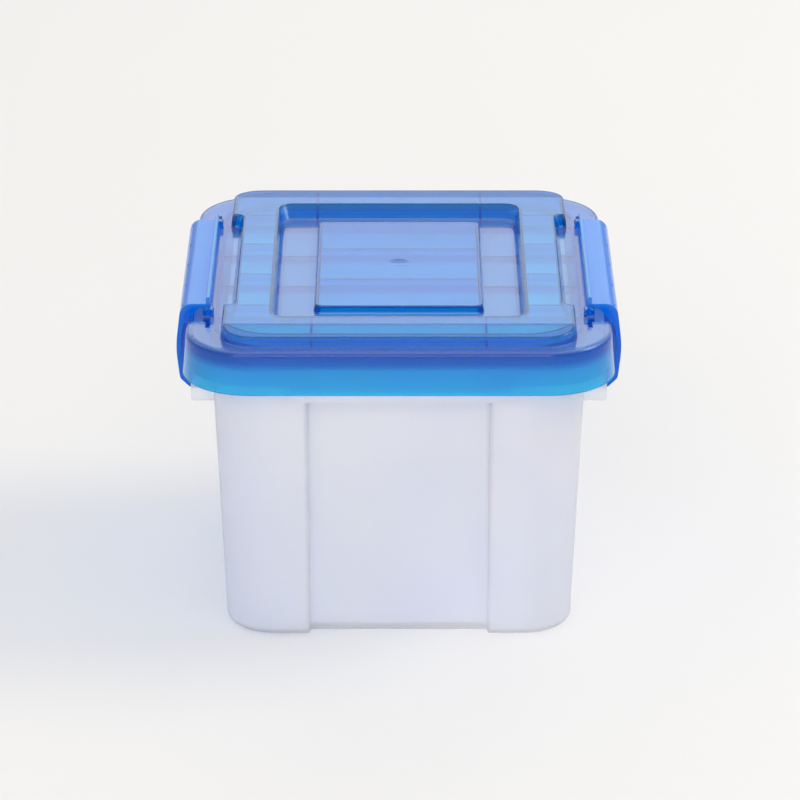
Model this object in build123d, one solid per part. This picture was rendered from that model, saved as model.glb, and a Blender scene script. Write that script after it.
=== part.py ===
from build123d import *
import os
from math import radians, tan

# A small storage box: a clear tub, a raised-frame lid and two side latches.
# Millimetres, +Z up, origin at the middle of the tub's underside.

# ---- driving dimensions ----
DRAFT = 2.5                    # degrees the tub's walls lean outwards
TUB_X, TUB_Y = 92.2, 105.8     # half width and half depth of the tub at its foot
TUB_R = 26.0                   # tub corner radius at the foot
TUB_WALL, TUB_FLOOR = 1.6, 2.2
PANEL_X, PANEL_DEEP = 47.5, 7.0         # end panels: half width, and how far they sit back
PANEL_Y, PANEL_SIDE_DEEP = 62.0, 5.0    # the same for the side panels
PANEL_R = 2.4                  # rounding of the columns' long edges
FOOT_ROUND, FLOOR_ROUND = 5.0, 3.4
FOOT_RING, FOOT_RISE = 16.0, 1.0        # width of the ring that the tub stands on, and its height
LIP_TOP = 166.5

FLANGE_TOP, FLANGE_T = 158.5, 2.0
FLANGE_X, FLANGE_Y, FLANGE_R = 109.6, 120.7, 33.0
FLANGE_DROP = 149.5            # lower edge of the turned-down rim
GRIP_X, GRIP_BOTTOM = 57.0, 141.4       # finger ledges at the front and back
RIDGE_X, RIDGE_BOTTOM = 53.5, 139.4
RAIL_OUT, RAIL_BOTTOM, RAIL_TOP = 110.0, 130.9, 133.3    # the rail that a latch hooks under
WEB_IN, WEB_OUT, WEB_BOTTOM = 75.8, 78.0, 124.2          # the webs at the rail's ends

DECK, LID_T = 168.7, 2.0
SKIRT_X, SKIRT_Y, SKIRT_R = 113.4, 124.4, 36.0           # the skirt at its lower edge
SKIRT_BOTTOM, SKIRT_DRAFT, DECK_ROUND = 145.4, 4.5, 3.2
FRAME_X, FRAME_Y, FRAME_R = 93.4, 116.3, 17.0            # the raised frame at the deck
FRAME_RISE, FRAME_DRAFT, FRAME_ROUND = 7.2, 8.0, 1.4
CROWN_Y, CROWN_DROP = 99.0, 1.6         # where the frame's top starts to fall away, and how far
NOTCH_X, NOTCH_Y, NOTCH_LEAN = 88.7, 69.5, 20.0          # the side bars stand back for the blades
RECESS_X, RECESS_Y, RECESS_R = 66.8, 88.4, 8.0           # the recess at the frame's top
RECESS_RUN_X, RECESS_RUN_Y, RECESS_COVE = 2.4, 8.0, 3.0  # how far its walls run in, and their foot
PLATEAU_X, PLATEAU_Y, PLATEAU_R = 45.4, 67.0, 5.0
PLATEAU_RISE, PLATEAU_DRAFT = 4.4, 12.0
GATE_R, GATE_DEEP = 6.0, 0.5            # the mould's gate, a dimple in the middle of the lid
RIB_T, RIB_BOTTOM, RIB_YS = 1.2, 163.0, (-70.5, -23.5, 23.5, 70.5)
RIB_X = 45.5                   # ribs that run front to back inside the end bars
PLUG_X, PLUG_Y, PLUG_R = 96.9, 110.4, 31.0               # the wall inside the tub's mouth
PLUG_T, PLUG_BOTTOM = 1.4, 162.2

POCKET_X, POCKET_Y = 99.5, 78.0         # the lid's side opening: deck edge, half length
SLOT_IN, SLOT_OUT, SLOT_END = 98.9, 101.6, 87.0          # the slot at each end of the opening
HINGE_X, HINGE_Z = 100.8, 170.5
BARREL_R, PIN_R, PIN_CLEAR = 1.7, 1.1, 0.05
EAR_IN, EAR_OUT = 66.7, 71.0            # hinge ears, measured along Y
EAR_BOTTOM, EAR_TOP = 163.0, 173.0

LATCH_Y, LATCH_T = 66.2, 2.4
LATCH_OUT, LATCH_OUT_Z = 118.2, 150.0   # where the latch stands out furthest
LATCH_TOP, LATCH_TOP_X = 174.4, 115.2   # the corner its top and side would make
LATCH_BOTTOM, LATCH_FOOT_X, LATCH_FOOT_Z = 127.4, 116.2, 132.3
BLADE_TOP, BLADE_T = 178.0, 2.2
NOSE_X, NOSE_Z = 108.6, 128.9           # tip of the latch's hook
GUSSET_T, GUSSET_BOTTOM, GUSSET_YS = 1.8, 161.0, (-62.0, -31.0, 0.0, 31.0, 62.0)


def spread(height):
    """How far a tub wall has leaned out at a height."""
    return height * tan(radians(DRAFT))


def block(x0, x1, y0, y1, z0, z1):
    return Pos((x0 + x1) / 2, (y0 + y1) / 2, (z0 + z1) / 2) * Box(x1 - x0, y1 - y0, z1 - z0)


def slab(half_x, half_y, radius, z0, z1, taper=0):
    """A rounded block between two heights; a negative taper widens it upwards."""
    face = Pos(0, 0, z0) * RectangleRounded(2 * half_x, 2 * half_y, radius)
    return extrude(face, amount=z1 - z0, taper=taper)


def four_ways(shape):
    """A shape in the +X +Y quarter, repeated in all four."""
    pair = shape + mirror(shape, about=Plane.YZ)
    return pair + mirror(pair, about=Plane.XZ)


# ---- tub ----
def panel_cut(half, deep, face, foot, top):
    """What one wall panel removes: its plan pushed up along the wall's lean."""
    plan = Pos(0, -10) * Rectangle(2 * half + 24, 20) + Pos(0, deep / 2) * Rectangle(2 * half, deep)
    plan = fillet([v for v in plan.vertices() if abs(abs(v.X) - half) < 0.01], PANEL_R)
    lean = Vector(0, -tan(radians(DRAFT)), 1)
    cut = extrude(Pos(0, -face, foot) * plan, amount=(top - foot) * lean.length, dir=lean)
    bevel = Vector(0, -0.7, 1)
    return cut + extrude(Pos(0, 1.4 - face, foot) * plan, amount=2 * bevel.length, dir=bevel)


def tub_lump(inset, foot, ease):
    """The tub as a full block with its four panels, inset by a wall's thickness."""
    neck_z = FLANGE_TOP - FLANGE_T
    half_x, half_y = TUB_X + spread(foot) - inset, TUB_Y + spread(foot) - inset
    lump = slab(half_x, half_y, TUB_R - inset, foot, neck_z, -DRAFT)
    lump = fillet(lump.edges().group_by(Axis.Z)[0], ease)
    end = panel_cut(PANEL_X + inset, PANEL_DEEP, half_y, foot, neck_z)
    side = Rot(0, 0, 90) * panel_cut(PANEL_Y + inset, PANEL_SIDE_DEEP, half_x, foot, neck_z)
    for turn in (0, 180):
        lump -= Rot(0, 0, turn) * end
        lump -= Rot(0, 0, turn) * side
    rise = spread(neck_z - foot)
    neck = slab(half_x + rise, half_y + rise, TUB_R - inset + rise, neck_z - 1.0, LIP_TOP + inset, -DRAFT)
    return lump + neck


def make_flange():
    """The rim: a flat flange with a turned-down edge."""
    plate = slab(FLANGE_X, FLANGE_Y, FLANGE_R, FLANGE_DROP, FLANGE_TOP)
    plate = fillet(plate.edges().group_by(Axis.Z)[-1], 1.2)
    under = slab(FLANGE_X - 1.6, FLANGE_Y - 1.6, FLANGE_R - 1.6, FLANGE_DROP, FLANGE_TOP - FLANGE_T)
    return plate - under


def make_grip():
    """The front finger ledge: a hanging plate with a deeper ridge behind it."""
    top = FLANGE_TOP - FLANGE_T
    plate = block(-GRIP_X, GRIP_X, -FLANGE_Y, 1.6 - FLANGE_Y, GRIP_BOTTOM, top)
    plate = fillet(plate.edges().filter_by(Axis.Y).group_by(Axis.Z)[0], 4.0)
    ridge = block(-RIDGE_X, RIDGE_X, 1.6 - FLANGE_Y, 3.4 - FLANGE_Y, RIDGE_BOTTOM, top)
    ridge = fillet(ridge.edges().filter_by(Axis.Y).group_by(Axis.Z)[0], 2.0)
    return plate + ridge


def make_rail():
    """The right-hand hook rail, with a web at each end and three struts behind it."""
    wall_x = TUB_X + 0.5
    top = FLANGE_TOP - FLANGE_T
    rail = block(wall_x, RAIL_OUT, -WEB_IN, WEB_IN, RAIL_BOTTOM, RAIL_TOP)
    rail = chamfer(rail.edges().filter_by(Axis.Y).group_by(Axis.X)[-1], 0.5)
    for y in (-WEB_OUT, WEB_IN):
        web = block(wall_x, RAIL_OUT, y, y + WEB_OUT - WEB_IN, WEB_BOTTOM, top)
        rail += fillet(web.edges().filter_by(Axis.Y).group_by(Axis.Z)[0].sort_by(Axis.X)[-1], 2.0)
    for y in (-38, 0, 38):
        rail += block(wall_x, FLANGE_X - 1.0, y - 0.8, y + 0.8, RAIL_TOP - 0.5, top)
    return rail


def make_tub():
    outside = tub_lump(0, 0, FOOT_ROUND)
    cavity = tub_lump(TUB_WALL, TUB_FLOOR, FLOOR_ROUND)
    rail = make_rail()
    grip = make_grip()
    tub = outside + make_flange() + rail + mirror(rail, about=Plane.YZ)
    tub += grip
    tub += mirror(grip, about=Plane.XZ)
    tub -= cavity
    tub -= slab(TUB_X - FOOT_RING, TUB_Y - FOOT_RING, TUB_R - 10, -1, FOOT_RISE, 30)
    return tub


# ---- lid ----
def notch_cut(grow):
    """What the frame's right side bar loses, so that a folded blade can lie on the deck."""
    lean = Vector(-tan(radians(NOTCH_LEAN)), 0, 1)
    z = DECK - 1.0
    plan = Pos(NOTCH_X + 20 - grow + 0.36, 0, z) * RectangleRounded(40, 2 * (NOTCH_Y + grow), 4.0)
    return extrude(plan, amount=(FRAME_RISE + 3) * lean.length, dir=lean)


def crown_cut(inset):
    """The wedge that makes the frame's top fall away at the front."""
    top = DECK + FRAME_RISE - inset
    run = FRAME_Y - CROWN_Y
    profile = make_face(Polyline((-CROWN_Y, top), (-CROWN_Y - 3 * run, top - 3 * CROWN_DROP),
                                 (-CROWN_Y - 3 * run, top + 5), (-CROWN_Y, top + 5), close=True))
    return extrude(Plane.YZ * profile, amount=FRAME_X + 5, both=True)


def frame_block(inset):
    """The raised frame before its recess is cut."""
    shape = slab(FRAME_X - inset, FRAME_Y - inset, FRAME_R - inset,
                 DECK - 1 - inset, DECK + FRAME_RISE - inset, FRAME_DRAFT)
    notch = notch_cut(inset)
    crown = crown_cut(inset)
    shape = shape - notch - mirror(notch, about=Plane.YZ)
    return shape - crown - mirror(crown, about=Plane.XZ)


def eased_frame():
    """The frame's outer form with its upper edges rounded over."""
    shape = frame_block(0)
    low = DECK + FRAME_RISE - 1.5 * CROWN_DROP - 0.3
    rim = [e for e in shape.edges() if e.bounding_box().min.Z > low
           and not (abs(abs(e.center().Y) - CROWN_Y) < 0.1 and e.bounding_box().size.Y < 0.1)]
    return fillet(rim, FRAME_ROUND)


def recess_cut(grow):
    """The recess inside the frame: steep side walls and easier slopes at its ends."""
    over = 3.0
    extra = over / FRAME_RISE
    floor = RectangleRounded(2 * (RECESS_X - RECESS_RUN_X + grow), 2 * (RECESS_Y - RECESS_RUN_Y + grow),
                             RECESS_R + grow)
    mouth = RectangleRounded(2 * (RECESS_X + RECESS_RUN_X * extra + grow),
                             2 * (RECESS_Y + RECESS_RUN_Y * extra + grow), RECESS_R + grow)
    top = DECK + FRAME_RISE + over
    cut = loft([Pos(0, 0, DECK - grow) * floor, Pos(0, 0, top) * mouth], ruled=True)
    return fillet(cut.edges().group_by(Axis.Z)[0], RECESS_COVE + grow / 2)


def plateau_block(inset):
    block_top = DECK + PLATEAU_RISE - inset
    shape = slab(PLATEAU_X - inset, PLATEAU_Y - inset, PLATEAU_R - inset / 2,
                 DECK - inset - 1, block_top, PLATEAU_DRAFT)
    return shape if inset else fillet(shape.edges().group_by(Axis.Z)[-1], 0.8)


def lid_lump(inset):
    """The lid as a full block; inset by its thickness this is the hollow under the skin."""
    bottom = SKIRT_BOTTOM - (1 if inset else 0)
    skirt = slab(SKIRT_X - inset, SKIRT_Y - inset, SKIRT_R - inset, bottom, DECK - inset, SKIRT_DRAFT)
    skirt = fillet(skirt.edges().group_by(Axis.Z)[-1], DECK_ROUND - inset / 2)
    frame = frame_block(inset) if inset else eased_frame()
    return skirt + frame - recess_cut(inset) + plateau_block(inset)


def lid_stiffeners():
    """The wall that sits inside the tub's mouth, and the ribs under the lid."""
    top = DECK + FRAME_RISE
    ring = slab(PLUG_X, PLUG_Y, PLUG_R, PLUG_BOTTOM, top)
    ring -= slab(PLUG_X - PLUG_T, PLUG_Y - PLUG_T, PLUG_R - PLUG_T, PLUG_BOTTOM - 1, top + 1)
    half = RIB_T / 2
    reach = PLUG_X - PLUG_T / 2
    for y in RIB_YS:
        ring += block(-reach, reach, y - half, y + half, RIB_BOTTOM, top)
    short = block(RIB_X - half, RIB_X + half, RECESS_Y - RECESS_RUN_Y, PLUG_Y - PLUG_T / 2, RIB_BOTTOM, top)
    return ring + four_ways(short)


def hinge_ear():
    """One ear at the end of the right-hand opening, and the bore for a latch's pin."""
    ear = block(POCKET_X + 0.2, HINGE_X + 2.4, EAR_IN, EAR_OUT, EAR_BOTTOM, EAR_TOP)
    ear += block(POCKET_X - 2.0, POCKET_X + 0.4, EAR_IN, EAR_OUT, DECK - LID_T + 0.1, EAR_TOP)
    ear = fillet(ear.edges().filter_by(Axis.Y).group_by(Axis.Z)[-1], 1.2)
    bore = Pos(HINGE_X, (EAR_IN + EAR_OUT) / 2, HINGE_Z) * Rot(90, 0, 0) * Cylinder(
        PIN_R + PIN_CLEAR, EAR_OUT - EAR_IN + 2)
    return ear, bore


def make_lid():
    outside = lid_lump(0)
    lid = outside - lid_lump(LID_T) + (lid_stiffeners() & outside)
    opening = block(POCKET_X, SKIRT_X + 10, -POCKET_Y, POCKET_Y, SKIRT_BOTTOM - 5, DECK + 5)
    slot = block(SLOT_IN, SLOT_OUT, -SLOT_END, SLOT_END, DECK - 2 * LID_T, DECK + 5)
    slot -= block(SLOT_IN - 1, POCKET_X, -POCKET_Y, POCKET_Y, DECK - 3 * LID_T, DECK + 6)
    for cut in (opening, slot):
        lid -= cut
        lid -= mirror(cut, about=Plane.YZ)
    ear, bore = hinge_ear()
    lid = lid + four_ways(ear) - four_ways(bore)
    ball = (GATE_R ** 2 + GATE_DEEP ** 2) / (2 * GATE_DEEP)
    return lid - Pos(0, 0, DECK + PLATEAU_RISE + ball - GATE_DEEP) * Sphere(ball)


# ---- latches ----
def latch_profile():
    """The right-hand latch's section, drawn in X and Z."""
    blade_in, blade_out = HINGE_X - BLADE_T / 2, HINGE_X + BLADE_T / 2
    under = LATCH_TOP - LATCH_T
    wall = LATCH_OUT - LATCH_T
    ramp = wall - 1.5 - NOSE_X
    path = Polyline((blade_in, HINGE_Z), (blade_in, BLADE_TOP), (blade_out, BLADE_TOP),
                    (blade_out, LATCH_TOP), (LATCH_TOP_X, LATCH_TOP), (LATCH_OUT, LATCH_OUT_Z),
                    (LATCH_FOOT_X, LATCH_FOOT_Z), (NOSE_X + 2.6, LATCH_BOTTOM), (NOSE_X + 0.8, LATCH_BOTTOM),
                    (NOSE_X, NOSE_Z), (NOSE_X + ramp, NOSE_Z + ramp), (wall, LATCH_OUT_Z),
                    (LATCH_TOP_X - LATCH_T, under), (blade_out, under), (blade_out, HINGE_Z), close=True)
    face = make_face(path)
    for x, z, radius in ((blade_in, BLADE_TOP, 0.8), (blade_out, BLADE_TOP, 0.8),
                         (LATCH_TOP_X, LATCH_TOP, 7.0), (LATCH_OUT, LATCH_OUT_Z, 60.0),
                         (LATCH_FOOT_X, LATCH_FOOT_Z, 4.5), (NOSE_X + 0.8, LATCH_BOTTOM, 0.6),
                         (NOSE_X, NOSE_Z, 0.3), (wall, LATCH_OUT_Z, 57.0),
                         (LATCH_TOP_X - LATCH_T, under, 4.6)):
        corner = [v for v in face.vertices() if abs(v.X - x) < 0.01 and abs(v.Y - z) < 0.01]
        face = fillet(corner, radius)
    return face


def make_latch():
    """The right-hand latch: a bowed shell with a hinge barrel, a blade and a hook."""
    latch = extrude(Plane.XZ * latch_profile(), amount=LATCH_Y, both=True)
    along = Pos(HINGE_X, 0, HINGE_Z) * Rot(90, 0, 0)
    latch += along * Cylinder(BARREL_R, 2 * LATCH_Y)
    latch += along * Cylinder(PIN_R, 2 * (EAR_OUT - 0.5))
    under = LATCH_TOP - LATCH_T + 0.6
    wall = LATCH_OUT - LATCH_T
    web = make_face(Polyline((HINGE_X + 3.2, under), (wall - 1.4, under), (wall + 0.2, GUSSET_BOTTOM),
                             (wall - 2.2, GUSSET_BOTTOM + 0.6), close=True))
    for y in GUSSET_YS:
        latch += Pos(0, y, 0) * extrude(Plane.XZ * web, amount=GUSSET_T / 2, both=True)
    return latch


latch = make_latch()
os.makedirs("parts", exist_ok=True)
for name, shape in (("tub", make_tub()), ("lid", make_lid()), ("latch_right", latch),
                    ("latch_left", mirror(latch, about=Plane.YZ))):
    print(name, len(shape.solids()), round(shape.volume), shape.is_valid, shape.bounding_box())
    export_step(shape, f"parts/{name}.step")
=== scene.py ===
import math

import bpy
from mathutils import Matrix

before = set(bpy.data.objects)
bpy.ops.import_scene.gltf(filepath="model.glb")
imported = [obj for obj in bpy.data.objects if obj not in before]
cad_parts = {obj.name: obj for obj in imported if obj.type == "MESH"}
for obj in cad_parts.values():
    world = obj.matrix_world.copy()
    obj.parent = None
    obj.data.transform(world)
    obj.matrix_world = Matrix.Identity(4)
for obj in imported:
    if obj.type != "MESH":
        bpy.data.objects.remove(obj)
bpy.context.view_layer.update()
scene = bpy.context.scene

MM = 0.001                     # metres in a millimetre

# ---- camera and studio ----
CAMERA_AT = (0.0006, -2.2647, 1.0079)
CAMERA_TILT = 68.0             # degrees from straight down
LENS, SENSOR = 200.48, 36.0    # millimetres
FLOOR_HALF = 12.0              # half width of the floor, in metres
FLOOR_TONES = ((0.900, 0.896, 0.888), (0.915, 0.911, 0.903))
FLOOR_ROUGH, FLOOR_SHINE = 0.6, 0.25
FLOOR_SCALE = 3.0              # pattern scales are in cycles per metre
SKY_COLOUR, SKY_STRENGTH = (1.0, 0.99, 0.975), 0.69
LAMPS = (                      # name, position, aim, size, watts, colour
    ("key", (2.1, 0.35, 2.1), (0, 0, 0.05), (1.3, 1.3), 24, (1.0, 0.985, 0.965)),
    ("fill", (-0.5, -3.0, 1.7), (0, -0.2, 0.05), (2.6, 1.8), 34, (1.0, 0.99, 0.98)),
    ("back", (0.0, 2.6, 1.25), (0, 0, 0.17), (2.6, 1.0), 8, (1.0, 1.0, 1.0)),
)

# ---- plastic ----
PLASTIC_IOR = 1.46
NOISE_ROUGH = 0.55
NOISE_BAND = (0.35, 0.65)      # the part of a noise's range that is used
CLOUD_SCALE, CLOUD = 9.0, 0.95     # red and green are multiplied by CLOUD in the cloudiest places
HAZE_SCALE, HAZE_RANGE = 55.0, (0.8, 1.25)     # how far the roughness varies about its mean
STREAK_SCALE, STREAK_STRETCH, STREAK_BUMP = 34.0, (1.0, 1.0, 0.25), 0.3
GRAIN_SCALE, GRAIN_DEPTH, GRAIN_BUMP = 900.0, 0.03 * MM, 0.1


def node(tree, kind, x, y, **inputs):
    """Add a shader node and set its named inputs."""
    made = tree.nodes.new(kind)
    made.location = (x, y)
    for name, value in inputs.items():
        made.inputs[name.replace("_", " ")].default_value = value
    return made


def noise(tree, source, scale, detail, x, y):
    made = node(tree, "ShaderNodeTexNoise", x, y, Scale=scale, Detail=detail, Roughness=NOISE_ROUGH)
    tree.links.new(source, made.inputs["Vector"])
    return made


def ramp(tree, source, low, high, x, y, band=NOISE_BAND):
    """Turn a value that runs over the band into one between low and high."""
    made = node(tree, "ShaderNodeMapRange", x, y)
    made.inputs["From Min"].default_value, made.inputs["From Max"].default_value = band
    made.inputs["To Min"].default_value, made.inputs["To Max"].default_value = low, high
    tree.links.new(source, made.inputs["Value"])
    return made.outputs["Result"]


def painted_light_by_height(tree, place, painted_tones):
    """Paint light and shade as colour by height: the tones are heights in metres with their colours, lowest
    first.
    """
    low, high = painted_tones[0][0], painted_tones[-1][0]
    split = node(tree, "ShaderNodeSeparateXYZ", -900, 480)
    tree.links.new(place, split.inputs["Vector"])
    share = ramp(tree, split.outputs["Z"], 0.0, 1.0, -740, 480, (low, high))
    made = tree.nodes.new("ShaderNodeValToRGB")
    made.location = (-560, 480)
    stops = made.color_ramp.elements
    while len(stops) < len(painted_tones):
        stops.new(0.5)
    for stop, (height, _) in zip(stops, painted_tones):
        stop.position = (height - low) / (high - low)
    for stop, (_, colour) in zip(stops, painted_tones):     # only now, because moving a stop can reorder them
        stop.color = (*colour, 1)
    tree.links.new(share, made.inputs["Fac"])
    return made.outputs["Color"]


def plastic(name, painted_tones, rough, shine, transmission, absorb, density, flow, lamp_tint):
    """Translucent moulded polypropylene: cloudy colour, hazy gloss and faint flow streaks.

    Its base colour carries painted light and shade, set by height. Lamps shine through it in the lamp tint,
    so that its shadow is soft and coloured.
    """
    material = bpy.data.materials.new(name)
    material.use_nodes = True
    tree = material.node_tree
    tree.nodes.clear()
    out = node(tree, "ShaderNodeOutputMaterial", 900, 0)
    shader = node(tree, "ShaderNodeBsdfPrincipled", 420, 0, IOR=PLASTIC_IOR)
    shader.inputs["Specular IOR Level"].default_value = shine
    shader.inputs["Transmission Weight"].default_value = transmission
    clear = node(tree, "ShaderNodeBsdfTransparent", 420, 180, Color=(*lamp_tint, 1))
    ray = node(tree, "ShaderNodeLightPath", 420, 480)
    blend = node(tree, "ShaderNodeMixShader", 700, 0)
    tree.links.new(ray.outputs["Is Shadow Ray"], blend.inputs[0])
    tree.links.new(shader.outputs["BSDF"], blend.inputs[1])
    tree.links.new(clear.outputs["BSDF"], blend.inputs[2])
    tree.links.new(blend.outputs["Shader"], out.inputs["Surface"])
    place = node(tree, "ShaderNodeTexCoord", -1100, 0).outputs["Object"]

    cloud = noise(tree, place, CLOUD_SCALE, 3.0, -820, 200)
    mix = node(tree, "ShaderNodeMix", -160, 260)
    mix.data_type = "RGBA"
    mix.blend_type = "MULTIPLY"
    mix.inputs["B"].default_value = (CLOUD, CLOUD, 1, 1)
    tree.links.new(ramp(tree, cloud.outputs["Fac"], 0.0, 1.0, -480, 200), mix.inputs["Factor"])
    # the base colour is painted light and shade set by height, multiplied by the random cloudiness
    tree.links.new(painted_light_by_height(tree, place, painted_tones), mix.inputs["A"])
    tree.links.new(mix.outputs["Result"], shader.inputs["Base Color"])

    haze = noise(tree, place, HAZE_SCALE, 4.0, -820, -320)
    smooth, dull = (rough * share for share in HAZE_RANGE)
    tree.links.new(ramp(tree, haze.outputs["Fac"], smooth, dull, -480, -320), shader.inputs["Roughness"])

    stretch = node(tree, "ShaderNodeMapping", -1000, -600)
    stretch.inputs["Scale"].default_value = STREAK_STRETCH
    tree.links.new(place, stretch.inputs["Vector"])
    streak = noise(tree, stretch.outputs["Vector"], STREAK_SCALE, 2.0, -820, -600)
    grain = noise(tree, place, GRAIN_SCALE, 2.0, -820, -840)
    swell = node(tree, "ShaderNodeBump", -60, -600, Strength=STREAK_BUMP, Distance=flow)
    fine = node(tree, "ShaderNodeBump", 180, -600, Strength=GRAIN_BUMP, Distance=GRAIN_DEPTH)
    tree.links.new(streak.outputs["Fac"], swell.inputs["Height"])
    tree.links.new(grain.outputs["Fac"], fine.inputs["Height"])
    tree.links.new(swell.outputs["Normal"], fine.inputs["Normal"])
    tree.links.new(fine.outputs["Normal"], shader.inputs["Normal"])

    if density:
        body = node(tree, "ShaderNodeVolumeAbsorption", 560, -420, Color=(*absorb, 1), Density=density)
        tree.links.new(body.outputs["Volume"], out.inputs["Volume"])
    return material


def dress(name, material):
    """Put a material in every slot of a CAD node."""
    for slot in bpy.data.objects[name].material_slots:
        slot.material = material


def area_light(name, at, look, size, power, colour):
    """Add a soft rectangular lamp that faces a point."""
    lamp = bpy.data.lights.new(name, "AREA")
    lamp.shape = "RECTANGLE"
    lamp.size, lamp.size_y = size
    lamp.energy = power
    lamp.color = colour
    holder = bpy.data.objects.new(name, lamp)
    scene.collection.objects.link(holder)
    holder.location = at
    aim = [b - a for a, b in zip(at, look)]
    holder.rotation_euler = (math.atan2(math.hypot(aim[0], aim[1]), -aim[2]), 0,
                             math.atan2(aim[1], aim[0]) - math.pi / 2)


def make_floor():
    mesh = bpy.data.meshes.new("floor")
    half = FLOOR_HALF
    corners = [(-half, -half, 0), (half, -half, 0), (half, half, 0), (-half, half, 0)]
    mesh.from_pydata(corners, [], [(0, 1, 2, 3)])
    floor = bpy.data.objects.new("floor", mesh)
    scene.collection.objects.link(floor)
    material = bpy.data.materials.new("pale_floor")
    material.use_nodes = True
    tree = material.node_tree
    shader = tree.nodes["Principled BSDF"]
    shader.inputs["Roughness"].default_value = FLOOR_ROUGH
    shader.inputs["Specular IOR Level"].default_value = FLOOR_SHINE
    place = node(tree, "ShaderNodeTexCoord", -900, 0).outputs["Object"]
    paper = noise(tree, place, FLOOR_SCALE, 2.0, -640, 0)
    mix = node(tree, "ShaderNodeMix", -200, 0)
    mix.data_type = "RGBA"
    for socket, tone in zip(("A", "B"), FLOOR_TONES):
        mix.inputs[socket].default_value = (*tone, 1)
    tree.links.new(paper.outputs["Fac"], mix.inputs["Factor"])
    tree.links.new(mix.outputs["Result"], shader.inputs["Base Color"])
    mesh.materials.append(material)


def make_camera():
    data = bpy.data.cameras.new("camera")
    data.lens, data.sensor_width = LENS, SENSOR
    camera = bpy.data.objects.new("camera", data)
    camera.location = CAMERA_AT
    camera.rotation_euler = (math.radians(CAMERA_TILT), 0, 0)
    scene.collection.objects.link(camera)
    scene.camera = camera


def make_light():
    world = bpy.data.worlds.new("studio")
    scene.world = world
    world.use_nodes = True
    background = world.node_tree.nodes["Background"]
    background.inputs["Color"].default_value = (*SKY_COLOUR, 1)
    background.inputs["Strength"].default_value = SKY_STRENGTH
    for lamp in LAMPS:
        area_light(*lamp)
    scene.view_settings.view_transform = "Standard"


# ---- painted light and shade on each plastic, as colour by height from its lowest point up ----
# painted shade: the tub's milky white turns bluer and a little darker towards its foot
TUB_SHADE_BY_HEIGHT = ((0.0, (0.925, 0.945, 0.99)), (0.06, (0.95, 0.96, 0.985)), (0.13, (0.99, 0.98, 0.975)),
             (0.1665, (0.99, 0.98, 0.975)))
# painted light and shade: pale at the skirt's lower edge where light comes through one wall, a dark band of
# painted shade up the skirt and under the deck's rounded edge, a pale band of painted sheen around the
# recess floor's height, then painted shade at the foot of the frame's wall paling to painted sheen on the
# frame's top
LID_LIGHT_AND_SHADE_BY_HEIGHT = ((0.1454, (0.08, 0.86, 1.0)), (0.1585, (0.07, 0.80, 1.0)), (0.1625, (0.02, 0.34, 0.78)),
             (0.1672, (0.01, 0.24, 0.66)), (0.1680, (0.62, 0.90, 1.0)), (0.1692, (0.62, 0.90, 1.0)),
             (0.1698, (0.0, 0.38, 0.88)), (0.1722, (0.01, 0.54, 0.98)), (0.1738, (0.05, 0.70, 1.0)),
             (0.1759, (0.10, 0.80, 1.0)))
# painted sheen: the latches turn paler towards their tops, deeper blue lower down
LATCH_SHEEN_BY_HEIGHT = ((0.1274, (0.0, 0.27, 0.96)), (0.165, (0.0, 0.30, 0.98)), (0.1735, (0.01, 0.34, 0.99)),
               (0.1746, (0.10, 0.50, 1.0)), (0.178, (0.10, 0.55, 1.0)))
clear_tub = plastic("milky_clear", TUB_SHADE_BY_HEIGHT, rough=0.44, shine=0.5, transmission=0.58,
                    absorb=(1.0, 1.0, 1.0), density=0.0, flow=0.08 * MM, lamp_tint=(0.88, 0.872, 0.862))
blue_lid = plastic("blue_lid_plastic", LID_LIGHT_AND_SHADE_BY_HEIGHT, rough=0.11, shine=0.2, transmission=0.88,
                   absorb=(0.02, 0.64, 0.975), density=420.0, flow=0.05 * MM, lamp_tint=(0.47, 0.60, 0.75))
blue_latch = plastic("blue_latch_plastic", LATCH_SHEEN_BY_HEIGHT, rough=0.13, shine=0.15, transmission=0.50,
                     absorb=(0.0, 0.60, 0.985), density=150.0, flow=0.05 * MM, lamp_tint=(0.40, 0.56, 0.76))
dress("tub", clear_tub)
dress("lid", blue_lid)
for side in ("left", "right"):
    dress(f"latch_{side}", blue_latch)

make_floor()
make_light()
make_camera()
